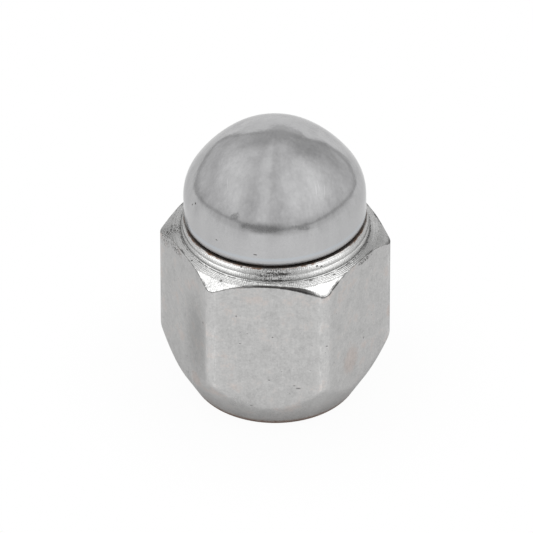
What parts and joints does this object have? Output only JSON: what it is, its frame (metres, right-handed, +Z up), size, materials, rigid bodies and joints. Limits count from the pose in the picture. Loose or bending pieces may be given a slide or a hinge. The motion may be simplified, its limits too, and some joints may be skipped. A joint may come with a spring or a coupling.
{
  "type": "lug nut",
  "caption": "Closed-end lug nut: a hexagonal body with a conical seat and a threaded bore, under a hollow welded dome cap.",
  "frame": {"origin": "centre of the flat seat end, where the nut stands", "axes": "+Z up the thread axis towards the dome; +X through a corner of the hexagon"},
  "size_m": [0.024, 0.021, 0.0315],
  "materials": {
    "body_plating": "satin chrome over forged steel",
    "cap_plating": "satin chrome over pressed steel"
  },
  "bodies": {
    "root": {"hex_body": "body_plating", "dome_cap": "cap_plating"}
  },
  "joints": []
}
